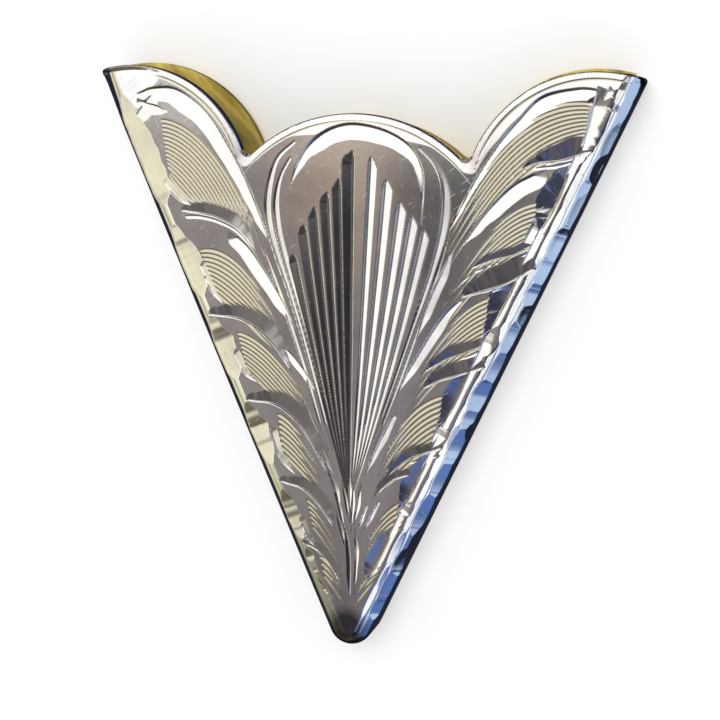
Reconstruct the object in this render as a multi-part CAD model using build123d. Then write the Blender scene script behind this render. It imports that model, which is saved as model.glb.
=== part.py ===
from build123d import *
import math
import os

os.makedirs("parts", exist_ok=True)

# A slide-on collar tip, lying on its back. Millimetres.
# +Z points out of the engraved front, +Y out of the open mouth, +X to the wearer's view right.
# Plan heights are measured from the rounded point; at the end everything is moved so that the
# origin lies on the table under the middle of the outline.

# Outline
wing_span = 38.1            # across the two wing corners
corner_height = 40.0        # wing corners above the point
point_radius = 1.6          # rounded point, in plan
dome_height = 37.5          # top of the middle lobe
dome_radius = 10.7
wing_lobe_side = 16.2       # centre of a wing's lobe, to the side and up
wing_lobe_height = 31.8
wing_lobe_radius = 8.7
notch_radius = 0.6          # between the lobes
corner_radius = 0.35        # wing corners, in plan

# Section
thickness = 5.0             # over all, at the middle
crown_radius = 300.0        # the front is very slightly crowned across
sheet = 0.65                # front sheet
roll_radius = 1.4           # where the front turns down into its sides
heel_radius = 1.0           # where the sides turn under
lip_thickness = 0.6         # folded edge under the back plate
lip_width = 2.2

# Back plate
plate_thickness = 0.6
plate_gap = 0.05            # above the folded lips
plate_side_gap = 0.3        # to the inside of the shell's sides
plate_dome_step = -0.35     # the plate's lobes against the front's
plate_wing_step = 0.2
plate_wing_shift = 0.25     # its wing lobes stand that much closer together

# Grip screw
screw_height = 24.0         # above the point
boss_radius = 2.4
boss_height = 1.1
screw_radius = 1.25
screw_clearance = 0.05
screw_recess = 0.3          # below the back, so that nothing stands proud of the lips
screw_reach = 0.25          # above the boss, into the pocket
slot_width = 0.5
slot_depth = 0.5

half_span = wing_span / 2
beyond_mouth = 5.0          # blanks run that far past the wing corners before the mouth is cut
trim_margin = 0.02          # the cutter of the mouth stands that far outside the sides
level = 0.5                 # an edge whose direction rises less than this lies flat
reach = math.hypot(half_span, corner_height - point_radius)
side_angle = math.acos(point_radius / reach) - math.atan2(corner_height - point_radius, half_span)
plate_bottom = lip_thickness + plate_gap
plate_top = plate_bottom + plate_thickness


def wedge(inset, end_radius):
    """The plan of the tip inside its two sides, moved in by inset, with a rounded point."""
    centre = point_radius + (inset + end_radius - point_radius) / math.sin(side_angle)
    top = corner_height + beyond_mouth
    side_x = end_radius * math.cos(side_angle)
    side_y = centre - end_radius * math.sin(side_angle)
    top_x = side_x + (top - side_y) * math.tan(side_angle)
    outline = Curve() + [
        Line((top_x, top), (side_x, side_y)),
        ThreePointArc((side_x, side_y), (0, centre - end_radius), (-side_x, side_y)),
        Line((-side_x, side_y), (-top_x, top)),
        Line((-top_x, top), (top_x, top)),
    ]
    return make_face(outline)


def lobes(dome_step, wing_step, wing_shift):
    """Everything below the three-lobed mouth: two wing lobes and a dome, with rounded notches."""
    dome_centre = dome_height - dome_radius
    side = wing_lobe_side - wing_shift
    below = Pos(0, dome_centre / 2) * Rectangle(4 * half_span, dome_centre + 2 * point_radius)
    shape = below + Pos(0, dome_centre) * Circle(dome_radius + dome_step)
    for hand in (-1, 1):
        shape += Pos(hand * side, wing_lobe_height) * Circle(wing_lobe_radius + wing_step)
    notches = [v for v in shape.vertices() if abs(v.X) < wing_lobe_side and v.Y > wing_lobe_height]
    return fillet(notches, notch_radius)


def crowned(face, bottom, top, radius):
    """The face raised from bottom up to the crown, which is top at the middle."""
    block = Pos(0, 0, bottom) * extrude(face, top - bottom)
    return block & (Pos(0, 0, top - radius) * Rot(90, 0, 0) * Cylinder(radius, 4 * corner_height))


def rolled(body, top_radius, bottom_radius):
    """Rounds the long edges of a raised wedge, above and below, but not its far end."""
    far = corner_height + beyond_mouth - trim_margin
    edges = [e for e in body.edges() if e.center().Y < far and abs(e.tangent_at(0.5).Z) < level]
    upper = [e for e in edges if e.center().Z > thickness / 2]
    lower = [e for e in edges if e.center().Z < thickness / 2]
    return fillet(upper, top_radius).fillet(bottom_radius, lower)


def front_shell():
    """The front, its rolled sides and their folded lips, open at the mouth and under the back."""
    outer = crowned(wedge(0, point_radius), 0, thickness, crown_radius)
    outer = rolled(outer, roll_radius, heel_radius)
    inner = crowned(wedge(sheet, point_radius - sheet), lip_thickness, thickness - sheet,
                    crown_radius - sheet)
    inner = rolled(inner, roll_radius - sheet, heel_radius - lip_thickness)
    window = Pos(0, 0, -sheet) * extrude(wedge(lip_width, heel_radius), lip_thickness + 2 * sheet)
    plan = wedge(-trim_margin, point_radius + trim_margin) & lobes(0, 0, 0)
    plan = fillet([v for v in plan.vertices() if abs(v.X) > wing_lobe_side], corner_radius)
    return (outer - inner - window) & (Pos(0, 0, -sheet) * extrude(plan, thickness + 2 * sheet))


def upright(radius, bottom, top):
    """A round bar on the screw's axis."""
    return Pos(0, screw_height, (bottom + top) / 2) * Cylinder(radius, top - bottom)


def back_plate():
    """The flat back with its soldered boss, drilled for the screw."""
    plan = wedge(sheet + plate_side_gap, point_radius) & lobes(
        plate_dome_step, plate_wing_step, plate_wing_shift)
    plate = Pos(0, 0, plate_bottom) * extrude(plan, plate_thickness)
    plate += upright(boss_radius, plate_bottom, plate_top + boss_height)
    return plate - upright(screw_radius + screw_clearance, 0, thickness)


def set_screw():
    """A plain slotted stud, sunk below the back."""
    top = plate_top + boss_height + screw_reach
    screw = upright(screw_radius, screw_recess, top)
    slot = Pos(0, screw_height, screw_recess) * Box(4 * screw_radius, slot_width, 2 * slot_depth)
    return screw - slot


pieces = {"front_shell": front_shell(), "back_plate": back_plate(), "set_screw": set_screw()}
length = max(piece.bounding_box().max.Y for piece in pieces.values())
to_origin = Pos(0, -length / 2, 0)
for name, piece in pieces.items():
    export_step(to_origin * piece, f"parts/{name}.step")
    print(name, round(piece.volume, 1), piece.is_valid)
print("length", round(length, 3), "side angle", round(math.degrees(side_angle), 3))
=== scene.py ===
import bmesh
import bpy
import math
import numpy as np
from mathutils import Matrix, Vector


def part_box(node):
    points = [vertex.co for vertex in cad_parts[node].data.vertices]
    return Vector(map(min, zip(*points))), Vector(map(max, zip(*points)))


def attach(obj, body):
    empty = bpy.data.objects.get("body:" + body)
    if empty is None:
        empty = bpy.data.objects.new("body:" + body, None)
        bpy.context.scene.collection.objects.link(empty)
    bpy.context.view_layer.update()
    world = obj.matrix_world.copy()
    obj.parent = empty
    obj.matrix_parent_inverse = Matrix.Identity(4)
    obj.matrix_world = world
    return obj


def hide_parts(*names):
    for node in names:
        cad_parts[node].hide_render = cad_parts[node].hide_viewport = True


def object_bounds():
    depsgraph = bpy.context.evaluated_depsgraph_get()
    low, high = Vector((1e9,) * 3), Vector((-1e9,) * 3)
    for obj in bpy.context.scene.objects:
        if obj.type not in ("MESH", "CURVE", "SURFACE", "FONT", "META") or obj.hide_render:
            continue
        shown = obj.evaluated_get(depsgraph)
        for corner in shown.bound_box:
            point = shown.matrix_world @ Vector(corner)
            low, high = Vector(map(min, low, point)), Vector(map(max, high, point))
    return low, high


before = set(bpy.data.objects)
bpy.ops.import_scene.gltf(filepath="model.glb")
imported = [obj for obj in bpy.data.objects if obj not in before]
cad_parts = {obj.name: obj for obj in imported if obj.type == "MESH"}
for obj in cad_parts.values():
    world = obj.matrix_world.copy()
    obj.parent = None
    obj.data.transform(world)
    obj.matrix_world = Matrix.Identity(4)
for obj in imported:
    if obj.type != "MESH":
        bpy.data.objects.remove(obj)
cad_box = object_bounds()

# The shell is worked out in millimetres above its point, and then moved into the frame.
MM = 0.001
shell_low, shell_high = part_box("front_shell")
POINT_Y = shell_low.y / MM
TOP = shell_high.z / MM

# Outline and section of the shell
SPAN = 38.1
CORNER = 40.0
POINT_R = 1.6
DOME_TOP = 37.5
DOME_R = 10.7
WING_X, WING_Y, WING_R = 16.2, 31.8, 8.7
NOTCH_R = 0.6
NOTCH_X = 7.8
CORNER_R = 0.35
CROWN_R = 300.0
ROLL = 1.4
SHEET = 0.65
REACH = math.hypot(SPAN / 2, CORNER - POINT_R)
SIDE = math.acos(POINT_R / REACH) - math.atan2(CORNER - POINT_R, SPAN / 2)
SIN, COS = math.sin(SIDE), math.cos(SIDE)
FOOT = (POINT_R * COS, POINT_R - POINT_R * SIN)  # where the right side leaves the round point
FAN = math.pi / 2 - SIDE  # half the round point's angle

# The engraved skin's grid
ROW_STEP = 0.05
FINE_STEP, PLAIN_STEP, ROLL_STEP = 0.038, 0.056, 0.07
FINE_END = 6.6  # the fine lines lie within this from the sides
ROLL_END = ROLL - ROLL * math.pi / 2  # where the roll turns into the straight wall
FOLD_Z = 2.4  # the folded rest of the shell starts below this
WALL = 1.0  # the grid's measure for the wall down to there
START = ROLL_END - WALL
LAST_ROW = 43.5
RIM = 0.1  # rounding of the mouth's cut edge
MAP_MARGIN = 0.01
POINT_ROWS = 30  # rows round the point, on each half
SHORTEST = 0.35 * FINE_STEP  # a row's last step is at least that long
SAME = 1e-4  # nodes closer than this are one
GAP = 0.04  # between the samples of a line
TINY = 1e-9  # keeps a division from failing


def unit(vectors):
    """The same directions with length 1."""
    return vectors / np.maximum(np.linalg.norm(vectors, axis=1), TINY)[:, None]


def crown(x):
    """Height of the front's outside, before the engraving."""
    return TOP - CROWN_R + np.sqrt(CROWN_R ** 2 - x ** 2)


def mouth(x, y):
    """How far a plan point lies outside the three-lobed mouth, with rounded notches."""
    x = np.abs(x)
    dome = np.hypot(x, y - DOME_TOP + DOME_R) - DOME_R
    wing = np.hypot(x - WING_X, y - WING_Y) - WING_R
    both = np.hypot(np.maximum(NOTCH_R - dome, 0), np.maximum(NOTCH_R - wing, 0))
    lobes = np.maximum(NOTCH_R, np.minimum(dome, wing)) - both
    lobes = np.minimum(lobes, y - (DOME_TOP - DOME_R))
    # the wing corners are rounded against the sides
    side = (x - FOOT[0]) * COS - (y - FOOT[1]) * SIN
    near = np.hypot(np.maximum(lobes + CORNER_R, 0), np.maximum(side + CORNER_R, 0)) - CORNER_R
    return np.where((side > -CORNER_R) & (lobes > -CORNER_R), near, lobes)


class Surface:
    """The shell's outside as a developed sheet: s runs in from the side and q up along it."""

    def __init__(self, s, q, hand):
        self.q, self.hand = q, hand
        turn = np.clip((ROLL - s) / ROLL, 0, math.pi / 2)
        wall = np.clip((ROLL_END - s) / WALL, 0, 1)
        inset = np.where(s < ROLL, ROLL - ROLL * np.sin(turn), s)
        drop = ROLL * (1 - np.cos(turn))
        self.flat_x, self.flat_y = self.plan(s)
        self.x, self.y = self.plan(inset)
        self.z = (crown(self.x) - drop) * (1 - wall) + FOLD_Z * wall
        out_x, out_y = self.outward()
        slope = self.x / np.sqrt(CROWN_R ** 2 - self.x ** 2)
        out, up = np.sin(turn), np.cos(turn)
        self.normal = unit(np.stack([out * out_x + slope * up, out * out_y, up], axis=1))

    def outward(self):
        """Plan direction straight out of the side, which turns round the point."""
        angle = SIDE + np.clip(-self.q, 0, FAN)
        return self.hand * np.cos(angle), -np.sin(angle)

    def plan(self, inset):
        out_x, out_y = self.outward()
        up = np.maximum(self.q, 0)
        x = self.hand * FOOT[0] + self.hand * SIN * up - out_x * inset
        y = FOOT[1] + COS * up - out_y * inset
        round_x = out_x * (POINT_R - inset)
        round_y = POINT_R + out_y * (POINT_R - inset)
        fan = self.q < 0
        return np.where(fan, round_x, x), np.where(fan, round_y, y)


def skin_grid():
    """Nodes (s, q, hand) and faces of both halves, joined along the middle."""
    fan_rows = -np.linspace(FAN, 0, POINT_ROWS, endpoint=False)
    rows = np.concatenate([fan_rows, np.arange(0, LAST_ROW, ROW_STEP)])
    ends = np.where(rows < 0, POINT_R, POINT_R + rows * math.tan(SIDE))
    columns = np.concatenate([np.arange(START, ROLL, ROLL_STEP), np.arange(ROLL, FINE_END, FINE_STEP),
                              np.arange(FINE_END, SPAN, PLAIN_STEP)])
    counts = np.searchsorted(columns, ends - SHORTEST)
    first = np.concatenate([[0], np.cumsum(counts + 1)])
    total = first[-1]
    s = np.concatenate([np.append(columns[:count], end) for end, count in zip(ends, counts)])
    q = np.repeat(rows, counts + 1)
    faces = []
    for j in range(len(rows) - 1):
        a, b = first[j], first[j + 1]
        low, high = counts[j], counts[j + 1]
        m = min(low, high) - 1
        i = np.arange(m)
        quads = np.stack([a + i, a + i + 1, b + i + 1, b + i, np.full(m, -1)], axis=1)
        lower = list(range(a + m, a + low + 1))
        upper = list(range(b + m, b + high + 1))
        while len(lower) + len(upper) > 5:
            short = lower if len(lower) > 2 and len(lower) >= len(upper) else upper
            tri = [lower[0], lower[1], upper[0]] if short is lower else [lower[0], upper[1], upper[0]]
            faces.append(np.array([tri + [-1, -1]]))
            short.pop(0)
        tail = lower + upper[::-1]
        faces += [quads, np.array([tail + [-1] * (5 - len(tail))])]
    faces = np.concatenate(faces)
    # the left half is the mirror image, with its faces turned over
    turned, _ = packed(faces[:, ::-1], faces[:, ::-1] >= 0)
    mirrored = np.where(turned >= 0, turned + total, -1)
    hand = np.repeat([1.0, -1.0], total)
    return np.tile(s, 2), np.tile(q, 2), hand, np.concatenate([faces, mirrored])


def packed(faces, good):
    """The faces' good corners moved together, padded with -1, and how many each face has."""
    order = np.argsort(~good, axis=1, kind="stable")
    return np.take_along_axis(np.where(good, faces, -1), order, axis=1), good.sum(axis=1)


def after_each(faces):
    """For each corner of each face, the face's next corner."""
    after = np.roll(faces, -1, axis=1)
    after[np.arange(len(faces)), (faces >= 0).sum(axis=1) - 1] = faces[:, 0]
    return after


def edges_of(faces):
    """Every side of every face as a pair of nodes."""
    used = (faces >= 0).T
    return np.stack([faces.T[used], after_each(faces).T[used]], axis=1)


def cut_mouth(s, q, hand, faces):
    """Moves the nodes nearest to the mouth's line onto it and drops what lies outside."""
    at = Surface(s, q, hand)
    f = mouth(at.x, at.y)
    edge = edges_of(faces)
    edge = edge[f[edge[:, 0]] * f[edge[:, 1]] < 0]
    share = f[edge[:, 0]] / (f[edge[:, 0]] - f[edge[:, 1]])
    first = share < 0.5
    node = np.where(first, edge[:, 0], edge[:, 1])
    other = np.where(first, edge[:, 1], edge[:, 0])
    move = np.where(first, share, 1 - share)
    order = np.argsort(-move)  # the smallest move is written last
    node, other, move = node[order], other[order], move[order]
    on = np.zeros(len(s), bool)
    on[node] = True
    moved = []
    for values in (s, q):
        target = values.copy()
        target[node] += move * (values[other] - values[node])
        moved.append(target)
    used = faces >= 0
    kept, count = packed(faces, used & ((f < 0) | on)[faces])
    inside = (used & ((f < 0) & ~on)[faces]).any(axis=1)
    return *moved, on, kept[(count >= 3) & inside]


class Engraver:
    """Cuts strokes into the developed sheet. Depths are millimetres below the surface."""

    CELL = 0.5
    CHUNK = 16

    def __init__(self, x, y):
        self.x, self.y = x, y
        self.low = x.min(), y.min()
        self.wide = int((x.max() - x.min()) / self.CELL) + 2
        cell = self.cell(x, y)
        self.order = np.argsort(cell, kind="stable")
        self.tall = int((y.max() - y.min()) / self.CELL) + 2
        self.start = np.searchsorted(cell[self.order], np.arange(self.wide * self.tall + 1))
        # the third layer is painted shade: how far each node's colour is darkened towards the dark silver
        self.depth, self.line, self.tarnish, self.low_part = np.zeros((4, len(x)))

    def cell(self, x, y):
        across = ((x - self.low[0]) / self.CELL).astype(int)
        return across + self.wide * ((y - self.low[1]) / self.CELL).astype(int)

    def near(self, low, high):
        """Nodes in the cells that a box covers."""
        lo = [max(int((low[k] - self.low[k]) / self.CELL), 0) for k in (0, 1)]
        hi = [int((high[k] - self.low[k]) / self.CELL) for k in (0, 1)]
        hi[0] = min(hi[0], self.wide - 1)
        found = []
        for row in range(lo[1], min(hi[1], self.tall - 1) + 1):
            a = self.start[row * self.wide + lo[0]]
            b = self.start[row * self.wide + hi[0] + 1]
            found.append(self.order[a:b])
        return np.concatenate(found) if found else np.zeros(0, int)

    def cut(self, path, left, right, depth, look, hollow=0.0):
        """A graver's stroke along path: half widths and depth at each point of it.

        hollow 0 is a V with straight walls, and 1 a round scoop."""
        run = unit(np.gradient(path, axis=0))
        widest = float(max(left.max(), right.max()))
        for k in range(0, len(path), self.CHUNK):
            part = slice(k, min(k + self.CHUNK + 1, len(path)))
            p = path[part]
            nodes = self.near(p.min(axis=0) - widest, p.max(axis=0) + widest)
            if not len(nodes):
                continue
            dx = self.x[nodes, None] - p[None, :, 0]
            dy = self.y[nodes, None] - p[None, :, 1]
            best = (dx ** 2 + dy ** 2).argmin(axis=1)
            pick = np.arange(len(nodes)), best
            dx, dy = dx[pick], dy[pick]
            run_x, run_y = run[part][best].T
            side = run_x * dy - run_y * dx
            along = run_x * dx + run_y * dy
            past = (best == 0) & (along < 0) | (best == len(p) - 1) & (along > 0)
            away = np.where(past, np.hypot(dx, dy), np.abs(side))
            step = best + np.clip(along / GAP, -0.5, 0.5)
            one_side, other_side, floor = (np.interp(step, np.arange(len(p)), values[part])
                                           for values in (left, right, depth))
            width, other = np.where(side > 0, (one_side, other_side), (other_side, one_side))
            share = away / np.maximum(width, TINY)
            deep = floor * ((1 - hollow) * (1 - share) + hollow * (1 - share ** 2))
            better = (share < 1) & (deep > self.depth[nodes])
            self.depth[nodes[better]] = deep[better]
            self.line[nodes[better]], self.tarnish[nodes[better]] = look
            self.low_part[nodes[better]] = np.where(width < other, STEEP_PART, 1 - share)[better]


def through(points):
    """A smooth line through a few points."""
    p = np.array(points, float)
    p = np.concatenate([[2 * p[0] - p[1]], p, [2 * p[-1] - p[-2]]])
    line = []
    for a, b, c, d in zip(p, p[1:], p[2:], p[3:]):
        n = max(int(np.linalg.norm(c - b) / GAP), 2)
        t = np.linspace(0, 1, n, endpoint=False)[:, None]
        line.append(0.5 * (2 * b + (c - a) * t + (2 * a - 5 * b + 4 * c - d) * t ** 2
                           + (3 * b - a - 3 * c + d) * t ** 3))
    line.append(p[-2][None, :])
    return np.concatenate(line)


def bend(start, handle, end, samples=0):
    """A curve from start to end that leaves and arrives towards its handle."""
    a, h, b = (np.array(v, float) for v in (start, handle, end))
    n = samples or max(int((np.linalg.norm(h - a) + np.linalg.norm(b - h)) / GAP), 4)
    t = np.linspace(0, 1, n)[:, None]
    return (1 - t) ** 2 * a + 2 * t * (1 - t) * h + t ** 2 * b


def swell(n, *values):
    """Values spread evenly along a stroke of n samples, joined smoothly."""
    at = np.linspace(0, len(values) - 1, n)
    k = np.minimum(at.astype(int), len(values) - 2)
    t = at - k
    t = t * t * (3 - 2 * t)
    v = np.array(values, float)
    return v[k] * (1 - t) + v[k + 1] * t


# The engraving. Places are in millimetres above the shell's point, as it lies with its mouth up.
# A cut has a wide facet and a steep one. "looks" says which way the wide facet is turned.
COMPASS = {"N": (0, 1), "NE": (1, 1), "E": (1, 0), "SE": (1, -1), "SW": (-1, -1), "W": (-1, 0), "NW": (-1, 1)}

# Shading of the leaves. A fine line starts at the leaf's outer end, bends towards its second point
# and ends at the stem. Columns: looks, first line, last line, how many.
LEAVES = (
    ("NW", ((15.5, 38.5), (9.9, 38.9), (6.3, 29.2)), ((15.3, 36.0), (10.7, 34.6), (6.6, 26.9)), 11),
    ("NW", ((12.4, 31.9), (9.5, 31.4), (6.3, 24.6)), ((12.2, 29.1), (8.9, 27.6), (5.7, 22.0)), 10),
    ("NW", ((9.9, 25.6), (6.9, 24.9), (4.0, 18.6)), ((9.7, 22.7), (6.7, 21.2), (3.5, 16.2)), 10),
    ("NW", ((6.4, 18.6), (3.9, 17.9), (2.0, 13.2)), ((6.3, 15.6), (4.1, 14.2), (1.7, 10.6)), 9),
    ("NW", ((4.3, 11.2), (2.4, 10.7), (1.1, 7.4)), ((3.7, 9.2), (2.2, 8.2), (0.8, 5.4)), 6),
    ("NW", ((2.4, 6.6), (1.4, 6.2), (0.6, 4.2)), ((2.0, 5.3), (1.3, 4.6), (0.5, 3.2)), 4),
    ("NE", ((-13.8, 36.8), (-10.2, 36.4), (-6.7, 28.9)), ((-13.3, 33.0), (-12.4, 31.9), (-11.3, 31.0)), 14),
    ("NE", ((-10.9, 27.9), (-8.1, 28.4), (-5.0, 22.6)), ((-10.3, 25.3), (-8.1, 23.8), (-5.3, 20.9)), 10),
    ("NE", ((-8.1, 22.2), (-5.9, 21.8), (-2.8, 17.3)), ((-7.5, 19.7), (-5.8, 18.3), (-3.4, 15.6)), 9),
    ("NE", ((-5.1, 16.6), (-3.6, 16.0), (-1.8, 12.2)), ((-4.8, 13.9), (-3.4, 12.8), (-1.7, 10.8)), 8),
    ("NE", ((-2.9, 10.6), (-1.8, 9.9), (-0.6, 7.2)), ((-2.5, 8.7), (-1.7, 8.0), (-0.5, 5.8)), 6),
    ("NE", ((-1.9, 6.6), (-1.1, 6.3), (-0.3, 4.0)), ((-1.6, 5.2), (-1.0, 4.7), (-0.2, 3.2)), 4),
)

# Single cuts. Columns: looks, the wide facet's widths along the cut, line.
CUTS = (
    # white upper edges of the right leaves
    ("NW", (0.1, 0.7, 1.0, 0.85, 0.5, 0.4, 0.3, 0.05),
     ((17.2, 38.9), (16.2, 39.25), (14.8, 39.3), (12.6, 38.7), (11.1, 37.2), (9.6, 35.3), (8.2, 33.0),
      (6.5, 29.6))),
    ("NW", (0.9, 0.9, 0.8, 0.5, 0.05),
     ((12.2, 33.7), (11.1, 33.1), (10.1, 32.2), (8.9, 30.8), (7.7, 29.0))),
    ("NW", (0.05, 0.5, 0.5, 0.05), ((7.1, 28.9), (6.2, 26.9), (5.3, 24.7), (4.6, 22.4))),
    ("NW", (0.3, 0.6, 0.5, 0.05),
     ((7.5, 25.2), (6.6, 24.3), (5.7, 23.0), (4.9, 21.6), (4.0, 20.0), (3.3, 18.4))),
    ("NW", (0.35, 0.42, 0.3, 0.04), ((3.0, 16.9), (2.4, 15.6), (1.8, 14.3), (1.1, 12.6))),
    ("NW", (0.2, 0.25, 0.04), ((2.1, 10.8), (1.6, 9.8), (1.1, 8.6))),
    ("NW", (0.14, 0.2, 0.03), ((1.3, 10.5), (1.0, 9.7), (0.7, 8.6))),
    # white upper edges of the left leaves
    ("NE", (0.5, 0.9, 1.15, 1.0, 0.9, 0.8, 0.65, 0.45, 0.05),
     ((-15.6, 38.6), (-14.6, 38.9), (-13.03, 38.87), (-11.5, 38.03), (-10.29, 36.9), (-9.33, 35.5),
      (-8.2, 33.65), (-7.1, 31.4), (-6.0, 28.7))),
    # pale crossing cuts at the left wing's corner
    ("NE", (0.1, 0.7, 0.6, 0.1), ((-15.9, 38.3), (-15.2, 37.9), (-14.4, 37.7), (-13.6, 37.4))),
    ("NE", (0.7, 0.8, 0.65, 0.05),
     ((-8.3, 28.8), (-7.5, 28.1), (-6.5, 26.8), (-5.6, 25.5), (-4.8, 24.2), (-4.0, 22.7))),
    ("NE", (0.2, 0.42, 0.35, 0.04),
     ((-5.2, 21.6), (-4.4, 21.0), (-3.6, 20.1), (-3.0, 19.3), (-2.4, 18.2))),
    ("NE", (0.1, 0.2, 0.04), ((-2.9, 15.6), (-2.2, 14.6), (-1.5, 13.2))),
    # thin upper outlines where a leaf comes out from under the one above
    ("NW", (0.25, 0.14, 0.12, 0.05),
     ((15.0, 34.8), (13.8, 34.4), (12.4, 34.2), (11.2, 33.8), (9.8, 32.9))),
    ("NW", (0.25, 0.16, 0.12, 0.05),
     ((12.1, 28.7), (11.0, 28.1), (9.6, 27.7), (8.2, 27.0), (6.8, 25.6))),
    ("NW", (0.2, 0.14, 0.12, 0.05), ((9.0, 21.9), (7.8, 21.3), (6.6, 20.8), (5.4, 20.0), (4.2, 18.6))),
    ("NW", (0.2, 0.14, 0.1, 0.04), ((6.3, 14.5), (5.2, 14.2), (4.0, 13.6), (2.8, 12.4), (1.8, 10.9))),
    ("NE", (0.2, 0.18, 0.14, 0.05),
     ((-12.0, 30.2), (-11.0, 30.2), (-9.6, 29.9), (-8.2, 29.2), (-6.8, 27.7))),
    # the middle petal's rim
    ("N", (0.04, 0.45, 0.9, 0.95, 0.9, 0.75, 0.45, 0.2, 0.05),
     ((-4.45, 32.5), (-4.0, 33.9), (-3.2, 35.2), (-2.0, 36.2), (-0.5, 36.7), (1.1, 36.6), (2.7, 36.1),
      (3.9, 35.3), (4.65, 34.1), (4.85, 32.6), (4.75, 30.2))),
    ("W", (0.1, 0.36, 0.36, 0.28, 0.2, 0.05),
     ((-4.2, 35.5), (-5.4, 34.4), (-6.0, 32.8), (-6.2, 31.2), (-6.0, 29.5), (-5.4, 27.6), (-4.5, 25.2),
      (-3.1, 20.8), (-1.2, 14.4))),
    ("W", (0.1, 0.34, 0.36, 0.28, 0.2, 0.05),
     ((-4.5, 34.4), (-5.2, 33.1), (-5.55, 31.5), (-5.45, 29.9), (-5.1, 28.3), (-4.5, 26.3), (-3.5, 23.2),
      (-2.4, 19.6), (-1.0, 15.0))),
    ("W", (0.15, 0.5, 0.3, 0.16, 0.12, 0.04),
     ((4.6, 35.3), (5.5, 34.4), (6.1, 33.2), (6.25, 31.8), (6.1, 29.8), (5.5, 27.2), (4.4, 23.6),
      (3.0, 19.2), (1.3, 14.0))),
    ("W", (0.05, 0.2, 0.2, 0.05), ((6.9, 31.0), (6.2, 28.0), (5.0, 24.2), (3.4, 19.4), (1.6, 14.2))),
    ("W", (0.05, 0.22, 0.2, 0.05),
     ((-6.9, 29.4), (-5.9, 26.9), (-4.6, 23.4), (-3.2, 19.4), (-1.5, 14.2))),
    # bright spots at the lower ends of the right scoops
    ("NW", (0.4, 1.0, 1.0, 0.4), ((11.8, 29.4), (12.1, 30.1), (12.4, 30.7))),
    ("NW", (0.4, 1.1, 1.1, 0.4), ((9.0, 22.0), (9.3, 22.8), (9.7, 23.4))),
    ("NW", (0.4, 0.9, 0.9, 0.4), ((5.9, 15.6), (6.2, 16.3), (6.5, 16.8))),
    ("NW", (0.4, 0.8, 0.8, 0.4), ((3.6, 10.2), (3.9, 10.7), (4.2, 11.2))),
    # little cuts where the stems gather
    ("W", (0.05, 0.22, 0.04), ((-0.5, 12.2), (-0.2, 10.8), (0.1, 9.2))),
    ("W", (0.05, 0.22, 0.04), ((0.35, 12.4), (0.3, 10.8), (0.2, 8.4))),
    ("W", (0.05, 0.2, 0.04), ((-1.2, 12.0), (-0.7, 10.4), (-0.2, 8.4))),
    ("W", (0.04, 0.24, 0.14, 0.03), ((0.5, 8.8), (0.6, 7.4), (0.6, 5.8), (0.5, 4.0))),
    ("W", (0.05, 0.3, 0.04), ((-1.6, 13.2), (-1.0, 11.6), (-0.5, 10.0))),
    ("W", (0.05, 0.3, 0.04), ((0.0, 13.0), (0.05, 11.4), (0.1, 9.8))),
    ("W", (0.05, 0.26, 0.04), ((0.9, 12.0), (0.65, 10.6), (0.4, 9.0))),
    ("W", (0.05, 0.3, 0.04), ((-0.9, 10.0), (-0.5, 8.6), (-0.1, 7.2))),
    ("NE", (0.05, 0.26, 0.04), ((-2.4, 15.2), (-1.7, 13.8), (-1.0, 12.2))),
    ("NE", (0.05, 0.24, 0.04), ((-3.6, 18.2), (-2.8, 16.6), (-2.0, 14.8))),
)
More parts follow.
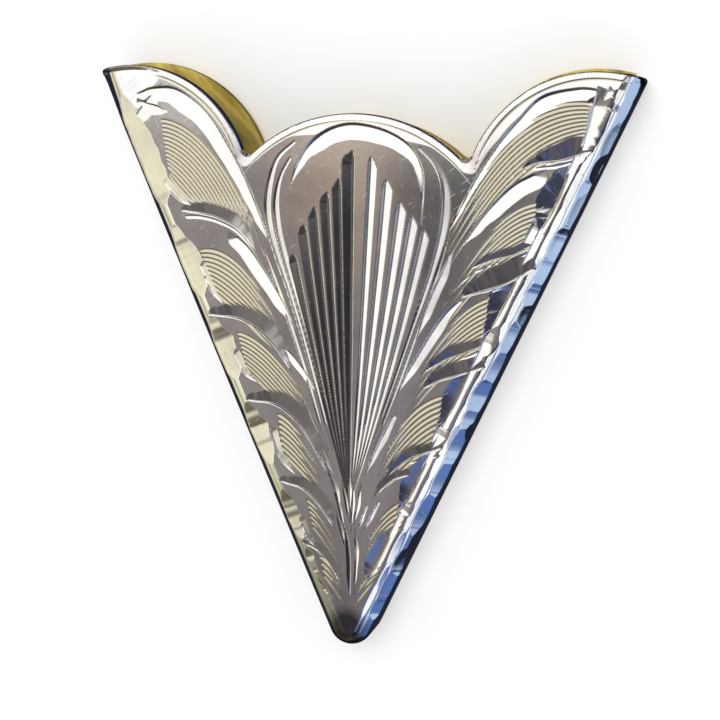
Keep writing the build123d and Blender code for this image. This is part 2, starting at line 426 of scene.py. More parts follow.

# Broad cuts without a steep facet: pale ones at the wings' corners, and shallow ones between each leaf and
# the one below it, whose colour is darkened as painted shade. Columns: looks, slope, widths, line.
CORNER_CUTS = (
    ("NW", 0.08, (2.6, 3.8, 2.6), ((-14.4, 42.6), (-18.0, 40.9), (-20.4, 37.0))),
    ("NW", 0.1, (0.5, 1.0, 0.6), ((-14.3, 38.9), (-15.3, 37.9), (-16.2, 36.6))),
    ("NW", 0.22, (1.3, 1.2, 0.8, 0.1), ((15.9, 38.3), (15.7, 37.3), (15.4, 35.9), (15.0, 34.4))),
)
SHADES = (
    ("SE", 0.13, (0.2, 0.9, 0.5), ((15.7, 38.4), (16.5, 38.3), (17.2, 38.0))),
    ("SE", 0.2, (1.4, 1.2, 0.6, 0.05), ((14.8, 35.0), (13.8, 34.7), (12.4, 34.5), (11.0, 33.9))),
    ("SE", 0.2, (0.6, 0.7, 0.5, 0.05), ((11.9, 28.9), (11.0, 28.4), (9.6, 28.0), (8.0, 27.3))),
    ("SE", 0.16, (1.5, 1.5, 1.1, 0.05), ((11.5, 27.0), (10.4, 26.4), (9.0, 25.9), (7.6, 25.4))),
    ("SE", 0.2, (0.7, 0.9, 0.6, 0.05), ((8.9, 22.1), (7.8, 21.6), (6.6, 21.1), (5.0, 20.1))),
    ("SE", 0.16, (0.9, 1.1, 0.8, 0.05), ((8.6, 20.5), (7.5, 20.1), (6.3, 19.7), (5.0, 19.0))),
    ("SE", 0.2, (0.7, 0.9, 0.6, 0.05), ((6.0, 14.8), (5.2, 14.5), (4.0, 13.9), (2.4, 12.4))),
    ("SE", 0.16, (0.4, 0.7, 0.5, 0.05), ((4.6, 13.0), (3.8, 12.8), (3.0, 12.4), (1.8, 11.2))),
    ("SW", 0.13, (0.5, 0.9, 0.9, 0.5, 0.05),
     ((-12.0, 30.5), (-11.0, 30.4), (-9.6, 30.1), (-8.2, 29.4), (-6.8, 27.9))),
    ("SW", 0.13, (0.6, 1.2, 1.2, 0.8, 0.05),
     ((-9.9, 23.3), (-8.3, 23.2), (-6.9, 22.6), (-5.6, 21.5), (-4.2, 19.6))),
    ("SW", 0.13, (0.6, 1.2, 1.1, 0.8, 0.05),
     ((-7.0, 17.4), (-5.6, 17.3), (-4.2, 16.5), (-3.0, 15.1), (-1.4, 12.4))),
    ("SW", 0.13, (0.5, 0.9, 0.8, 0.05), ((-4.6, 11.7), (-3.4, 11.4), (-2.3, 10.5), (-0.9, 8.6))),
    ("SW", 0.13, (0.3, 0.6, 0.5, 0.05), ((-3.1, 7.4), (-2.2, 7.0), (-1.2, 5.9), (-0.3, 4.4))),
    ("E", 0.3, (0.05, 0.3, 0.3, 0.05), ((-0.5, 9.6), (0.0, 8.0), (0.2, 6.2), (0.2, 3.6))),
)

# Broad scoops between the leaves on the right, and hooks at the leaves' outer ends on the left.
# The wide facet looks to the side. Columns: widths, line.
SCOOPS = (
    ((0.1, 1.0, 1.3, 0.8, 0.1), ((14.8, 34.6), (14.3, 33.4), (13.7, 31.9), (13.0, 30.5), (12.2, 29.3))),
    ((0.1, 0.9, 1.2, 0.7, 0.1), ((11.8, 28.3), (11.2, 26.6), (10.5, 25.1), (9.8, 23.6), (9.1, 22.2))),
    ((0.1, 0.8, 1.0, 0.6, 0.1), ((8.9, 21.6), (8.2, 20.1), (7.4, 18.3), (6.7, 16.7), (6.0, 15.2))),
    ((0.1, 0.7, 1.0, 0.6, 0.08), ((5.9, 15.0), (5.4, 13.7), (4.7, 12.2), (4.1, 10.8), (3.4, 9.4))),
    ((0.1, 0.8, 0.9, 0.08), ((3.5, 9.4), (2.8, 8.0), (2.1, 6.4), (1.4, 4.8))),
    ((0.5, 0.5, 0.05), ((-13.8, 32.4), (-12.8, 31.4), (-11.6, 30.8))),
    ((0.5, 0.5, 0.05), ((-11.0, 26.6), (-10.3, 25.1), (-9.3, 24.1))),
    ((0.5, 0.45, 0.05), ((-8.5, 20.6), (-7.7, 19.3), (-6.6, 18.7))),
    ((0.5, 0.5, 0.05), ((-5.7, 15.2), (-5.0, 13.4), (-3.7, 12.2))),
    ((0.4, 0.45, 0.05), ((-3.5, 9.0), (-2.9, 7.7), (-1.9, 7.0))),
    ((0.2, 0.3, 0.05), ((-2.2, 5.2), (-1.7, 4.2), (-1.0, 3.6))),
)

# Flutes of the fan, from the left. Columns: x and y of its end, width there.
FLUTES = (
    (-4.15, 27.8, 0.5), (-3.45, 29.9, 0.52), (-2.7, 31.1, 0.54), (-1.85, 32.2, 0.54), (-1.0, 33.1, 0.52),
    (-0.1, 35.0, 0.74), (1.2, 34.7, 0.52), (2.25, 33.2, 0.6), (3.25, 31.7, 0.58), (4.1, 30.8, 0.56),
    (4.95, 29.9, 0.52),
)
FLUTE_ROOT = (0.1, 10.6)
FLUTE_BEND = (0.62, 20.5)  # its handle: that share of its end's x, and that height
FLUTE_START = 0.12  # width at the root against the end's
FLUTE_TIP, TIP_POWER = 0.03, 0.7  # length of the pointed end against the flute's, and its fullness
DARK_FLUTES = 6  # so many from the left turn their wide facet to the right

# The metal's look in a cut: whether it is a fine line, and how much painted shade darkens its colour
LINE, BRIGHT, SHADE, DARK = (1, 0), (0, 0), (0, 0.5), (0, 0.85)
STEEP_PART = 2.0  # marks a steep facet, where the wide one has 0 at its rim and 1 at its bottom
STEEP_MOST = 0.15  # its width, at most
CAP_R, CAP_SOFT = 1.3, 0.9  # the plain point is painted dark as shade, so far round its centre
CUT_SLOPE = 0.22
SCOOP_SLOPES = {"E": 0.2, "W": 0.22}
SCOOP_STEEPS = {"E": 0.13, "W": 0.02}
SCOOP_HOLLOW = 0.25
NO_STEEP = 0.02
STEEP_SHARE = 0.15  # the steep facet's width against the wide one's
UPRIGHT_SHARE = 0.35  # the same for cuts that look straight to a side
UPRIGHT_LEAST = 0.1  # and the least width of their steep facet
LINE_WIDE = 0.24  # a shading line's wide facet, at most
LINE_SHARE = 0.78  # the same against the lines' spacing
LINE_CROWDED = 0.21  # where the lines stand closer, every second one ends
LINE_CLOSEST = 0.12  # and where they stand closer than this, all do
LINE_SLOPE = 0.26
LINE_STEEP = 0.22
LINE_EASE = 0.05  # a crowded line narrows over this much spacing
RIM_BAND = 0.5  # polished bevel along the mouth
RIM_STRIP = 0.55  # that much wider on the right wing and the dome
RIM_SLOPE = 0.1
RIM_EASE = 2.0  # the bevel widens over this much
DOME_MIDDLE, DOME_STRIP = 0.4, 5.2  # it is wide on the dome too, so far round here
RIM_PLAIN, RIM_FADE = 0.1, 0.25  # no cuts that near the edge, and how they fade in
WING_ARC, DOME_ARC, ARC_SAMPLES = (165, 72), (142, 38), 300

# The left side's bevel. Columns: height, inner edge in from the side.
BEVEL = (
    (2.0, 0.4), (4.6, 1.3), (5.6, 1.4), (6.8, 1.1), (7.7, 1.6), (9.4, 1.7), (11.4, 1.1), (12.6, 1.1),
    (13.4, 1.7), (15.6, 2.0), (17.8, 1.15), (19.0, 1.1), (19.9, 1.9), (22.0, 2.1), (24.2, 1.15),
    (25.2, 1.1), (26.2, 1.9), (28.4, 2.2), (31.0, 1.2), (32.2, 1.2), (33.4, 2.1), (36.5, 2.2), (41.0, 1.7),
)
BEVEL_RIPPLES = ((1.37, 0.045), (0.61, 0.01))  # length and swing of each ripple of its edge
BEVEL_SLOPE = 0.22
LEFT_FADE = 1.1  # the cuts on the left fade out towards the foot of the roll
# The right side's bright strip, and the facets over its roll
STRIP_LINE = 1.75  # the strip's inner edge, in from the side
STRIP_LOW, STRIP_HIGH = 4.6, 41.2
STRIP_WIDE, STRIP_SWING, STRIP_SLOPE = 0.45, 0.14, 0.31
FACET_PITCH = 2.45
FIRST_FACET = 1.2
FACET_LENGTH = (0.7, 1.5)  # shortest and longest, against the pitch
FACET_STEP = (0.55, 0.95)  # from one to the next, against its length
THINNEST = 0.01
# Columns: nearest and furthest in from the side, narrowest and widest.
FACETS = (
    (0.8, 1.0, 0.18, 0.28),
    (-0.4, 0.4, 0.42, 0.8),
)


def facet_cut(tool, line, width, looks, slope=CUT_SLOPE, steep=None, look=BRIGHT, hollow=0.0):
    """One cut whose wide facet looks the given way; its bottom is the line."""
    east, north = COMPASS[looks]
    least = 0
    if steep is None:
        steep = STEEP_SHARE
        if north == 0:
            steep, least = UPRIGHT_SHARE, UPRIGHT_LEAST
    middle = len(line) // 2
    run = line[min(middle + 2, len(line) - 1)] - line[max(middle - 2, 0)]
    turned_left = run[0] * north - run[1] * east > 0
    narrow = np.clip(width * steep, least, STEEP_MOST)
    left, right = (narrow, width) if turned_left else (width, narrow)
    tool.cut(line, left, right, width * slope, look, hollow)


def engrave(x, y):
    """The whole engraving: depth, and marks for the look, at each node of the developed sheet."""
    tool = Engraver(x, y)
    for row in LEAVES:
        shade_leaf(tool, *row)
    for looks, widths, line in CUTS:
        path = through(line)
        facet_cut(tool, path, swell(len(path), *widths), looks)
    for table, look in ((CORNER_CUTS, BRIGHT), (SHADES, SHADE)):
        for looks, slope, widths, line in table:
            path = through(line)
            facet_cut(tool, path, swell(len(path), *widths), looks, slope, NO_STEEP, look)
    for widths, line in SCOOPS:
        path = through(line)
        looks = "E" if line[0][0] > 0 else "W"
        facet_cut(tool, path, swell(len(path), *widths), looks, SCOOP_SLOPES[looks],
                  SCOOP_STEEPS[looks], hollow=SCOOP_HOLLOW)
    for number, flute in enumerate(FLUTES):
        # the flutes from the left get the DARK look: their colour is darkened strongly as painted shade
        dark = number < DARK_FLUTES
        cut_flute(tool, "E" if dark else "W", DARK if dark else BRIGHT, *flute)
    bright_strip(tool)
    edge_bevel(tool)
    roll_facets(tool)
    rim_line(tool)
    return tool


def shade_leaf(tool, looks, first, last, lines):
    """The close parallel lines that shade a leaf."""
    first, last = np.array(first), np.array(last)
    for number, share in enumerate(np.linspace(0, 1, lines), start=1):
        line = bend(*(first * (1 - share) + last * share))
        spread = bend(*first, samples=len(line)) - bend(*last, samples=len(line))
        room = np.linalg.norm(spread, axis=1) / (lines - 1)
        room *= np.abs(np.cross(unit(np.gradient(line, axis=0)), unit(spread)))
        closest = LINE_CROWDED if number % 2 else LINE_CLOSEST
        width = np.minimum(LINE_WIDE, LINE_SHARE * room) * swell(len(line), 0.8, 1.0, 1.0, 1.0, 0.2)
        width *= np.clip((room - closest) / LINE_EASE + 0.5, 0, 1)
        facet_cut(tool, line, width, looks, LINE_SLOPE, LINE_STEEP, look=LINE)


def cut_flute(tool, looks, look, top_x, top_y, wide):
    """A flute of the fan, which widens from its root and ends in a short point."""
    line = bend(FLUTE_ROOT, (top_x * FLUTE_BEND[0], FLUTE_BEND[1]), (top_x, top_y))
    share = np.linspace(0, 1, len(line))
    width = wide * (FLUTE_START + (1 - FLUTE_START) * share)
    width *= np.clip((1 - share) / FLUTE_TIP, 0, 1) ** TIP_POWER
    facet_cut(tool, line, np.maximum(width, THINNEST), looks, CUT_SLOPE, UPRIGHT_SHARE, look)


def along_side(s, low, high):
    """A line at a steady distance in from the right side."""
    q = np.arange(low, high, GAP)
    at = Surface(np.full(len(q), s), q, 1)
    return np.stack([at.flat_x, at.flat_y], axis=1)


def bright_strip(tool):
    """The bright scalloped strip inside the right side's roll."""
    line = along_side(STRIP_LINE, STRIP_LOW, STRIP_HIGH)
    beat = np.abs(np.sin(np.arange(len(line)) * GAP * math.pi / FACET_PITCH))
    width = STRIP_WIDE * (1 - STRIP_SWING + STRIP_SWING * beat)
    facet_cut(tool, line, width, "W", STRIP_SLOPE, STEEP_SHARE)


def edge_bevel(tool):
    """A bevel along the left side, down onto the roll, which widens at each leaf."""
    out = -tool.x - FOOT[0]
    up = tool.y - FOOT[1]
    s = up * SIN - out * COS
    q = up * COS + out * SIN
    inner = np.interp(q, *zip(*BEVEL))
    for pitch, swing in BEVEL_RIPPLES:
        inner += swing * np.sin(q * 2 * math.pi / pitch)
    fall = ROLL * (1 - np.cos(np.clip((ROLL - s) / ROLL, 0, math.pi / 2)))
    deep = np.where(tool.x < 0, BEVEL_SLOPE * (inner - s) - fall, 0)
    better = deep > tool.depth
    tool.depth[better] = deep[better]
    for layer in (tool.line, tool.tarnish, tool.low_part):
        layer[better] = 0


def roll_facets(tool):
    """Long flat facets of uneven size, one over the other, cut along the right side's roll."""
    chance = np.random.default_rng(5)
    for nearest, furthest, narrowest, widest in FACETS:
        start = FIRST_FACET
        while start < STRIP_HIGH:
            length = FACET_PITCH * chance.uniform(*FACET_LENGTH)
            inset = (chance.uniform(nearest, furthest) + chance.uniform(nearest, furthest)) / 2
            line = along_side(inset, start, start + length)
            share = np.linspace(0, 1, len(line))
            width = 2 * np.sqrt(share * (1 - share)) * chance.uniform(narrowest, widest) + THINNEST
            tool.cut(line, width, width, width ** 2 / 2 / ROLL, BRIGHT, hollow=1.0)
            start += length * chance.uniform(*FACET_STEP)


def rim_line(tool):
    """A fine line that sets off the mouth's polished rim."""
    wing, dome = (np.radians(np.linspace(*arc, ARC_SAMPLES)) for arc in (WING_ARC, DOME_ARC))
    r = WING_R - RIM_BAND
    for hand in (-1, 1):
        line = np.stack([hand * (WING_X + r * np.cos(wing)), WING_Y + r * np.sin(wing)], axis=1)
        width = swell(len(line), 0.02, 0.09, 0.07, 0.05)
        tool.cut(line, width, width, width * 0.7, look=LINE)
    r = DOME_R - RIM_BAND
    line = np.stack([r * np.cos(dome), DOME_TOP - DOME_R + r * np.sin(dome)], axis=1)
    width = swell(len(line), 0.02, 0.05, 0.03, 0.05, 0.02)
    tool.cut(line, width, width, width * 0.6, look=LINE)


def vertex_normals(points, faces):
    """Smooth normals of the whole skin, so that its parts shade as one."""
    normal = np.zeros_like(points)
    a, b, c = (points[faces[:, k]] for k in range(3))
    last = np.where(faces[:, 3] >= 0, faces[:, 3], faces[:, 2])
    n = unit(np.cross(c - a, points[last] - b))
    for k in range(faces.shape[1]):
        has = faces[:, k] >= 0
        np.add.at(normal, faces[has, k], n[has])
    return unit(normal)


def add_object(name, data):
    """A new object in the scene."""
    thing = bpy.data.objects.new(name, data)
    bpy.context.scene.collection.objects.link(thing)
    return thing


def new_mesh(name, points, faces, normals, layers, sheet):
    """A mesh object from millimetre points above the shell's point and padded faces."""
    used = np.unique(faces[faces >= 0])
    place = np.full(len(points), -1)
    place[used] = np.arange(len(used))
    size = (faces >= 0).sum(axis=1)
    flat = faces[faces >= 0]
    mesh = bpy.data.meshes.new(name)
    mesh.vertices.add(len(used))
    at = (points[used] + np.array([0, POINT_Y, 0])) * MM
    mesh.vertices.foreach_set("co", at.ravel())
    mesh.loops.add(len(flat))
    mesh.loops.foreach_set("vertex_index", place[flat])
    mesh.polygons.add(len(faces))
    mesh.polygons.foreach_set("loop_start", np.cumsum(size) - size)
    mesh.polygons.foreach_set("use_smooth", np.ones(len(faces), bool))
    mesh.update(calc_edges=True)
    mesh.validate()
    for layer, values in layers.items():
        mesh.attributes.new(layer, "FLOAT", "POINT").data.foreach_set("value", values[used])
    mesh.normals_split_custom_set_from_vertices(normals[used])
    # the developed sheet is the piece's flat map
    sheet = sheet[used] - sheet[used].min(axis=0)
    sheet *= (1 - 2 * MAP_MARGIN) / sheet.max()
    flat_map = mesh.uv_layers.new(name="OFBake")
    corners = np.zeros(len(mesh.loops), int)
    mesh.loops.foreach_get("vertex_index", corners)
    flat_map.data.foreach_set("uv", (sheet[corners] + MAP_MARGIN).astype(np.float32).ravel())
    return add_object(name, mesh)


def rim_of(points, faces, on):
    """The mouth's cut edge: the sides that only one face has, between nodes on the mouth's line."""
    edge = edges_of(faces)
    key = np.sort(edge, axis=1) @ np.array([len(points), 1])
    _, first, count = np.unique(key, return_index=True, return_counts=True)
    border = edge[first[count == 1]]
    return border[on[border].all(axis=1)]


def build_skin():
    """The engraved outside of the shell, in four pieces."""
    s, q, hand, faces = skin_grid()
    s, q, on, faces = cut_mouth(s, q, hand, faces)
    at = Surface(s, q, hand)
    tool = engrave(at.flat_x, at.flat_y)
    # the mouth's rim is a plain bevel, and nothing is cut at its very edge
    edge = mouth(at.x, at.y)
    on_dome = (DOME_STRIP - np.abs(at.x - DOME_MIDDLE)) / RIM_EASE
    on_wing = (at.x - NOTCH_X) / RIM_EASE
    band = RIM_BAND + RIM_STRIP * np.clip(np.maximum(on_dome, on_wing), 0, 1)
    tool.depth *= np.where(hand < 0, np.clip((s - ROLL_END) / LEFT_FADE, 0, 1), 1)
    fade = np.clip((-edge - RIM_PLAIN) / RIM_FADE, 0, 1)
    depth = tool.depth * fade + RIM_SLOPE * np.maximum(edge + band, 0)
    points = np.stack([at.x, at.y, at.z], axis=1) - at.normal * depth[:, None]
    # both halves meet on the middle line, and the fan's rows in one point
    keys = np.round(points / SAME).astype(np.int64)
    _, first, back = np.unique(keys, axis=0, return_index=True, return_inverse=True)
    back = back.ravel()
    points, on = points[first], on[first]
    # the plain point round its centre is darkened as painted shade
    cap = np.clip((CAP_R - np.hypot(points[:, 0], points[:, 1] - POINT_R)) / CAP_SOFT + 0.5, 0, 1)
    layers = {"cut_line": tool.line[first], "cut_low_part": tool.low_part[first],
              "tarnish": np.maximum(tool.tarnish[first], cap)}
    sheet = np.stack([at.flat_x[first], at.flat_y[first]], axis=1)
    merged = np.where(faces >= 0, back[faces], -1)
    # corners that fell together are dropped
    kept, count = packed(merged, (merged >= 0) & (merged != after_each(merged)))
    faces = kept[count >= 3]
    # the mouth's edge is rounded over and carried down to the inside
    border = rim_of(points, faces, on)
    ring = np.unique(border)
    place = np.full(len(points), -1)
    place[ring] = np.arange(len(ring))
    out = mouth_out(points[ring])
    down = -at.normal[first][ring]
    start = points[ring] - out * RIM
    profile = [(math.sin(t) * RIM, (1 - math.cos(t)) * RIM) for t in np.radians((30, 60, 90))]
    profile.append((RIM, SHEET))
    points[ring] = start
    rings = [ring]
    for over, under in profile:
        rings.append(np.arange(len(points), len(points) + len(ring)))
        points = np.concatenate([points, start + out * over + down * under])
        sheet = np.concatenate([sheet, sheet[ring] + out[:, :2] * (over + under)])
    extra = len(points) - len(cap)
    layers = {layer: np.pad(values, (0, extra)) for layer, values in layers.items()}
    strips = []
    a, b = place[border].T
    for upper, lower in zip(rings, rings[1:]):
        strips.append(np.stack([upper[b], upper[a], lower[a], lower[b], np.full(len(a), -1)], axis=1))
    faces = np.concatenate([faces, *strips])
    normals = vertex_normals(points, faces)
    centre = points[np.where(faces >= 0, faces, faces[:, :1])].mean(axis=1)
    pieces = []
    total = (faces >= 0).sum(axis=1) - 2
    for name, side in (("left", centre[:, 0] < 0), ("right", centre[:, 0] >= 0)):
        level = split_height(centre[side, 1], total[side])
        for part, where in (("lower", centre[:, 1] < level), ("upper", centre[:, 1] >= level)):
            chosen = faces[side & where]
            pieces.append(new_mesh(f"front_{name}_{part}", points, chosen, normals, layers, sheet))
    return pieces


def split_height(y, weight):
    """The height that halves a side's triangles."""
    order = np.argsort(y)
    total = np.cumsum(weight[order])
    return y[order][np.searchsorted(total, total[-1] / 2)]


def mouth_out(points):
    """Level direction straight out of the mouth at points on its edge."""
    tiny = 1e-3
    x, y = points[:, 0], points[:, 1]
    dx = mouth(x + tiny, y) - mouth(x - tiny, y)
    dy = mouth(x, y + tiny) - mouth(x, y - tiny)
    return unit(np.stack([dx, dy, np.zeros(len(x))], axis=1))


# The fold keeps the faces that the skin doesn't stand for
WELD = 1e-7
NEAR_MOUTH = 0.03
LEVEL, FACING = 0.02, 0.5  # a face whose normal rises more, or looks out more, is outside
SHARP_ANGLE = 35


def build_fold():
    """The rest of the shell, as the frame has it: its inside, walls and folded lips."""
    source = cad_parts["front_shell"]
    mesh = source.data.copy()
    mesh.name = "shell_fold"
    mesh.materials.clear()
    bm = bmesh.new()
    bm.from_mesh(mesh)
    bmesh.ops.remove_doubles(bm, verts=bm.verts, dist=WELD)
    every = bm.verts[:] + bm.edges[:] + bm.faces[:]
    bmesh.ops.bisect_plane(bm, geom=every, plane_co=(0, 0, FOLD_Z * MM), plane_no=(0, 0, 1))
    gone = []
    for face in bm.faces:
        c = face.calc_center_median() / MM
        n = face.normal
        if c.z < FOLD_Z:
            continue
        hand = 1 if c.x > 0 else -1
        outside = n.x * hand * COS - n.y * SIN
        edge = abs(float(mouth(c.x, c.y - POINT_Y))) < NEAR_MOUTH
        if n.z > LEVEL or outside > FACING and abs(n.z) <= LEVEL or edge:
            gone.append(face)
    bmesh.ops.delete(bm, geom=gone, context="FACES")
    bm.to_mesh(mesh)
    bm.free()
    mesh.polygons.foreach_set("use_smooth", np.ones(len(mesh.polygons), bool))
    mesh.set_sharp_from_angle(angle=math.radians(SHARP_ANGLE))
    return add_object("shell_fold", mesh)


class Nodes:
    """Short calls for a material's or the world's node tree."""

    def __init__(self, owner):
        owner.use_nodes = True
        self.owner, self.tree = owner, owner.node_tree
        self.tree.nodes.clear()

    def add(self, kind, inputs=None, **settings):
        node = self.tree.nodes.new("ShaderNode" + kind)
        for name, value in settings.items():
            setattr(node, name, value)
        for name, value in (inputs or {}).items():
            socket = node.inputs[name]
            if isinstance(value, bpy.types.NodeSocket):
                self.tree.links.new(value, socket)
            else:
                socket.default_value = value
        return node

    def math(self, operation, *values, clamp=False):
        node = self.add("Math", dict(enumerate(values)), operation=operation, use_clamp=clamp)
        return node.outputs[0]

    def scaled(self, value, factor, added, clamp=False):
        """A value times a factor, and something added."""
        return self.math("MULTIPLY_ADD", value, factor, added, clamp=clamp)

    def mix(self, share, first, second):
        node = self.add("Mix", {0: share, 6: first, 7: second}, data_type="RGBA")
        return node.outputs[2]

    def within(self, angle, low, high, soft):
        """1 where an angle lies between two others, in degrees, with soft ends."""
        low, high, soft = (math.radians(size) for size in (low, high, soft))
        away = self.math("ABSOLUTE", self.math("SUBTRACT", angle, (low + high) / 2))
        return self.math("MULTIPLY_ADD", away, -1 / soft, (high - low) / 2 / soft + 0.5, clamp=True)

    def ramp(self, value, stops):
        node = self.add("ValToRGB", {"Fac": value})
        elements = node.color_ramp.elements
        while len(elements) < len(stops):
            elements.new(0.5)
        for element, (at, colour) in zip(elements, stops):
            element.position = at
            element.color = (*colour, 1)
        return node.outputs["Color"]

    def noise(self, place, scale, detail):
        inputs = {"Vector": place, "Scale": scale, "Detail": detail}
        return self.add("TexNoise", inputs).outputs["Fac"]

    def turned(self, place, turn, scale):
        """Places turned about Z and measured in steps of scale."""
        return self.add("Mapping", {"Vector": place, "Rotation": (0, 0, turn), "Scale": scale},
                        vector_type="TEXTURE").outputs[0]

    def surface(self, **inputs):
        """Ends a material in a shader with these inputs."""
        inputs = {name.replace("_", " "): value for name, value in inputs.items()}
        shader = self.add("BsdfPrincipled", inputs)
        self.add("OutputMaterial", {"Surface": shader.outputs[0]})
        return self.owner


def new_material(name):
    """The node calls of a new material, and its places on the object."""
    n = Nodes(bpy.data.materials.new(name))
    return n, n.add("TexCoord").outputs["Object"]


# Colours of the metals. A ramp's columns: place on it, colour.
SILVER = ((0.32, (0.76, 0.74, 0.76)), (0.62, (0.95, 0.93, 0.89)))
SILVER_LINES = (0.6, 0.57, 0.44, 1)
# the dark colour that painted shade mixes into the silver
SILVER_PAINTED_SHADE = (0.17, 0.165, 0.17, 1)
DIRT = (0.2, 0.145, 0.07, 1)
# the brass ramp's bright stop is a painted highlight and its dark stops are painted shade, laid in soft
# streaks
BRASS_WITH_PAINTED_LIGHT = ((0.32, (0.26, 0.18, 0.07)), (0.44, (0.52, 0.4, 0.09)),
         (0.56, (0.86, 0.66, 0.17)), (0.68, (0.44, 0.38, 0.12)))
STEEL = ((0.3, (0.42, 0.42, 0.43)), (0.7, (0.6, 0.6, 0.61)))
PAPER = ((0.3, (0.86, 0.86, 0.86)), (0.7, (0.89, 0.89, 0.89)))

# Masks, as a factor and what is added: a cut's bottom, its steep facet, and more or less of a cloud
BOTTOM = (5.0, -4.3)
STEEP_FACET = (2.5, -2.6)
DIRTY = (1.2, 0.4)
# painted shade on a cut's steep facets: a factor on the painted shade already there, and what is added
STEEP_PAINTED_SHADE = (0.5, 0.75)
SCRATCHED = (12.0, -8.6)
SCRATCH_TURNS = (0.5, -0.9)
SCRATCH_SIZE = (1e-4, 1.2e-3, 1e-3)
STREAK_TURN, STREAK_SIZE = 0.7, (1.6e-3, 6e-3, 3e-3)


def silver():
    """Polished silver with brown dirt in the fine lines, light scratches, and painted shade in the shaded
    cuts and on steep facets.
    """
    n, place = new_material("silver")
    cloud = n.noise(place, 260.0, 4.0)
    fine = n.noise(place, 2600.0, 3.0)
    line, low_part, tarnish = (n.add("Attribute", attribute_name=layer).outputs["Fac"]
                               for layer in ("cut_line", "cut_low_part", "tarnish"))
    low = n.scaled(low_part, *BOTTOM, clamp=True)
    dirty = n.scaled(cloud, *DIRTY, clamp=True)
    dirt = n.math("MULTIPLY", n.math("MULTIPLY", low, line), dirty)
    steep = n.scaled(low_part, *STEEP_FACET, clamp=True)
    # steep facets are darkened as painted shade, the more where the cut is already shaded
    steep_shade = n.math("MULTIPLY", steep, n.scaled(tarnish, *STEEP_PAINTED_SHADE))
    # painted shade from the cuts or from steep facets, whichever is more
    shade_amount = n.math("MAXIMUM", tarnish, steep_shade)
    tint = n.mix(line, n.ramp(cloud, SILVER), SILVER_LINES)
    colour = n.mix(dirt, n.mix(shade_amount, tint, SILVER_PAINTED_SHADE), DIRT)
    scratch = n.math("MAXIMUM", *(scratches(n, place, turn) for turn in SCRATCH_TURNS))
    rough = n.scaled(cloud, 0.1, 0.05)
    rough = n.math("ADD", rough, n.math("MULTIPLY", n.math("MAXIMUM", line, scratch), 0.14))
    relief = n.scaled(scratch, 2.0, fine)
    bump = n.add("Bump", {"Height": relief, "Strength": 0.08, "Distance": 2e-5})
    return n.surface(Base_Color=colour, Metallic=n.scaled(dirt, -0.8, 1.0), Roughness=rough,
                     Normal=bump.outputs[0])


def scratches(n, place, turn):
    """Thin straight scratches in one direction, here and there."""
    line = n.noise(n.turned(place, turn, SCRATCH_SIZE), 1.0, 1.0)
    return n.scaled(line, *SCRATCHED, clamp=True)


def brass():
    """Bright yellow brass with soft streaks of uneven tone, painted highlights and painted shade."""
    n, place = new_material("brass")
    streak = n.noise(n.turned(place, STREAK_TURN, STREAK_SIZE), 1.0, 3.0)
    fine = n.noise(place, 3000.0, 3.0)
    rough = n.scaled(streak, 0.35, 0.14)
    relief = n.scaled(fine, 0.3, streak)
    bump = n.add("Bump", {"Height": relief, "Strength": 0.5, "Distance": 1e-4})
    colour = n.ramp(streak, BRASS_WITH_PAINTED_LIGHT)
    return n.surface(Base_Color=colour, Metallic=0.6, Roughness=rough, Normal=bump.outputs[0])


def steel():
    """Plain turned steel."""
    n, place = new_material("steel")
    cloud = n.noise(place, 900.0, 4.0)
    rough = n.scaled(cloud, 0.2, 0.25)
    return n.surface(Base_Color=n.ramp(cloud, STEEL), Metallic=1.0, Roughness=rough)


def floor_paper():
    """Pale matt paper."""
    n, place = new_material("floor_paper")
    return n.surface(Base_Color=n.ramp(n.noise(place, 40.0, 3.0), PAPER), Roughness=0.75)


# Soft cards round the object, as the metal sees them. Each covers a range of degrees from straight
# above towards +X and towards +Y; a negative one leans the other way.
# Columns: name, x low, x high, y low, y high, soft, colour, strength.
OVERHEAD = {
    "lilac_low": (-34, -3, -16.5, -9, 4, (1.0, 0.92, 0.95), 0.26),
    "brown_glow": (-20, -13, -6, 3, 6, (1.0, 0.76, 0.58), 0.42),
    "dark_middle": (-12, -8, -7, 0, 5, (0.8, 0.9, 1.0), 0.085),
    "dim_left": (-60, -23, -120, 120, 12, (1.0, 0.93, 0.88), 0.3),
    "warm_corner": (-60, -24, 6, 70, 10, (1.0, 0.96, 0.8), 0.95),
    "dark_right": (8, 36, -60, 0, 10, (0.25, 0.28, 0.5), 0.16),
    "blue_low": (6, 40, -42, -24, 8, (0.16, 0.32, 0.9), 0.62),
    "window": (-78, 30, 1, 66, 8, (1.0, 0.985, 0.95), 1.25),
    "white_left": (-46, -35, -24, 66, 5, (1.0, 0.985, 0.94), 1.25),
    "white_strip": (-57, -35, -2, 66, 5, (0.97, 0.985, 1.0), 1.25),
}
# Cards that stand round the object: the range of compass degrees from +Y towards +X, and of heights.
# Columns: name, compass low, compass high, height low, height high, soft, colour, strength.
ROUND = {
    "warm_left": (-124, -60, 0, 44, 12, (1.0, 0.97, 0.72), 0.9),
    "olive_left": (-124, -60, 14, 28, 12, (0.8, 0.75, 0.45), 0.5),
    "olive_low": (-170, -124, -10, 44, 12, (0.9, 0.8, 0.48), 0.16),
    "sky_right": (50, 130, -30, 42, 9, (0.5, 0.68, 1.0), 0.9),
    "sky_low": (130, 150, -24, 42, 9, (0.2, 0.38, 0.95), 0.55),
    "sky_glare": (50, 140, 20, 34, 7, (0.92, 0.96, 1.0), 1.15),
    "white_edge": (100, 155, 47, 58, 4, (0.95, 0.98, 1.0), 1.2),
}
ROOM = (0.115, 0.11, 0.115)
UNDER = (0.018, 0.02, 0.034)
HAZE = (0.3, 0.265, 0.265)
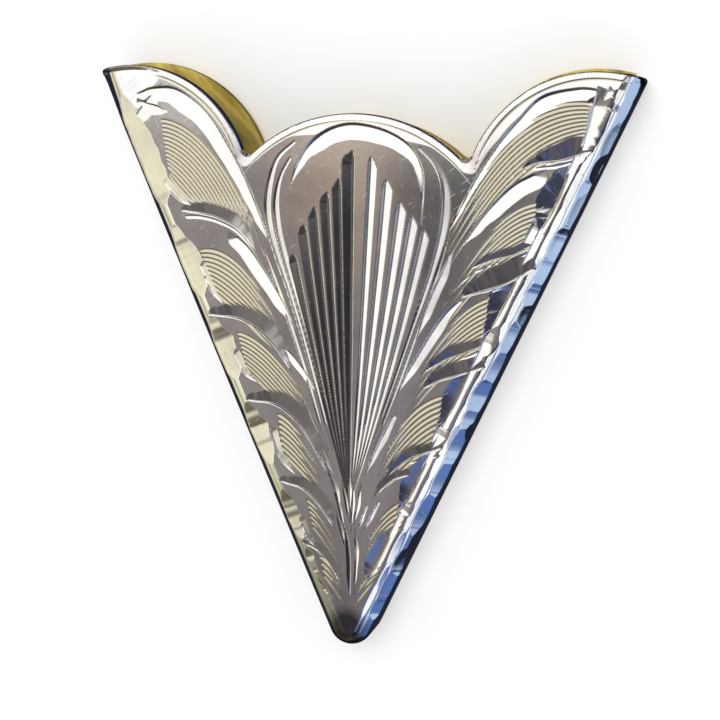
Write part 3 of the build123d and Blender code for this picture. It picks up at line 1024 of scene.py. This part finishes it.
BACKDROP = (0.93, 0.93, 0.94)
EVEN = (0.93, 0.93, 0.93)
HORIZON = (3.0, 0.2)  # how fast the room brightens above the horizon, and its light there
HAZE_SHARE = (4.0, -1.6)  # a factor on the clouds and what is added, for the haze in the room
LAMP_SIZE = (0.16, 0.12)
LAMP_PLACE = (0.01, 0.1, 0.26)
LAMP_POWER = 0.25
FLOOR_SIZE, FLOOR_DROP = 1.2, 2e-5


def light_room():
    """The cards for reflections, and an even pale room for everything else."""
    world = bpy.data.worlds.new("studio")
    bpy.context.scene.world = world
    world.cycles.sampling_method = "NONE"
    n = Nodes(world)
    view = n.add("TexCoord").outputs["Generated"]
    axes = n.add("SeparateXYZ", {0: view}).outputs
    lean_x = n.math("ARCTAN2", axes["X"], axes["Z"])
    lean_y = n.math("ARCTAN2", axes["Y"], axes["Z"])
    clouds = n.noise(view, 7.0, 3.0)
    above = n.scaled(axes["Z"], *HORIZON, clamp=True)
    room = n.mix(n.scaled(clouds, *HAZE_SHARE, clamp=True), (*ROOM, 1), (*HAZE, 1))
    light = n.mix(above, (*UNDER, 1), room)
    compass = n.math("ARCTAN2", axes["X"], axes["Y"])
    height = n.math("ARCSINE", axes["Z"])
    for cards, angles in ((OVERHEAD, (lean_x, lean_y)), (ROUND, (compass, height))):
        for *ranges, soft, colour, strength in cards.values():
            mask = n.math("MULTIPLY", *(n.within(angle, low, high, soft)
                                        for angle, low, high in zip(angles, ranges[::2], ranges[1::2])))
            light = n.mix(mask, light, (*(c * strength for c in colour), 1))
    path = n.add("LightPath").outputs
    mirrored = n.math("MULTIPLY", path["Is Glossy Ray"], n.math("LESS_THAN", path["Diffuse Depth"], 0.5))
    light = n.mix(mirrored, (*EVEN, 1), light)
    light = n.mix(path["Is Camera Ray"], light, (*BACKDROP, 1))
    back = n.add("Background", {"Color": light, "Strength": 1.0})
    n.add("OutputWorld", {"Surface": back.outputs[0]})
    overhead = bpy.data.lights.new("overhead", "AREA")
    overhead.shape = "RECTANGLE"
    overhead.size, overhead.size_y = LAMP_SIZE
    overhead.energy = LAMP_POWER
    lamp = add_object("overhead", overhead)
    lamp.location = LAMP_PLACE
    lamp.rotation_euler = (-lamp.location).to_track_quat("-Z", "Y").to_euler()
    lamp.visible_glossy = False


def lay_floor():
    bpy.ops.mesh.primitive_plane_add(size=FLOOR_SIZE, location=(0, 0, -FLOOR_DROP))
    floor = bpy.context.object
    floor.name = "floor"
    floor.data.materials.append(floor_paper())
    floor.visible_glossy = False


# Camera: how far it leans from straight above, towards which side of +Y, and how far away it is
LEAN = 18.0
TOWARDS = 57.0
DISTANCE = 0.115
TURN = 0.9
FRAME_WIDTH = 0.0505


def place_camera():
    """As the photograph is taken: from above, beyond the right wing."""
    camera = bpy.data.cameras.new("camera")
    seat = add_object("camera", camera)
    centre = (Vector(cad_box[0]) + Vector(cad_box[1])) / 2
    lean, towards, turn = (math.radians(angle) for angle in (LEAN, TOWARDS, TURN))
    away = Vector((math.sin(towards) * math.sin(lean), math.cos(towards) * math.sin(lean), math.cos(lean)))
    seat.location = centre + away * DISTANCE
    across = (-away).cross(Vector((0, 1, 0))).normalized()
    up = across.cross(-away)
    right = across * math.cos(turn) + up * math.sin(turn)
    up = up * math.cos(turn) - across * math.sin(turn)
    seat.rotation_euler = Matrix((right, up, away)).transposed().to_euler()
    camera.sensor_width = 36.0
    camera.lens = camera.sensor_width * DISTANCE / FRAME_WIDTH
    camera.clip_start, camera.clip_end = 0.005, 5.0
    bpy.context.scene.camera = seat


place_camera()
lay_floor()
light_room()
bpy.context.scene.view_settings.view_transform = "Standard"

silver_look, brass_look, steel_look = silver(), brass(), steel()
for piece in [*build_skin(), build_fold()]:
    piece.data.materials.append(silver_look)
    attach(piece, "root")
    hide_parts("front_shell")
for node, look in (("back_plate", brass_look), ("set_screw", steel_look)):
    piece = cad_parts[node]
    piece.data.materials.clear()
    piece.data.materials.append(look)
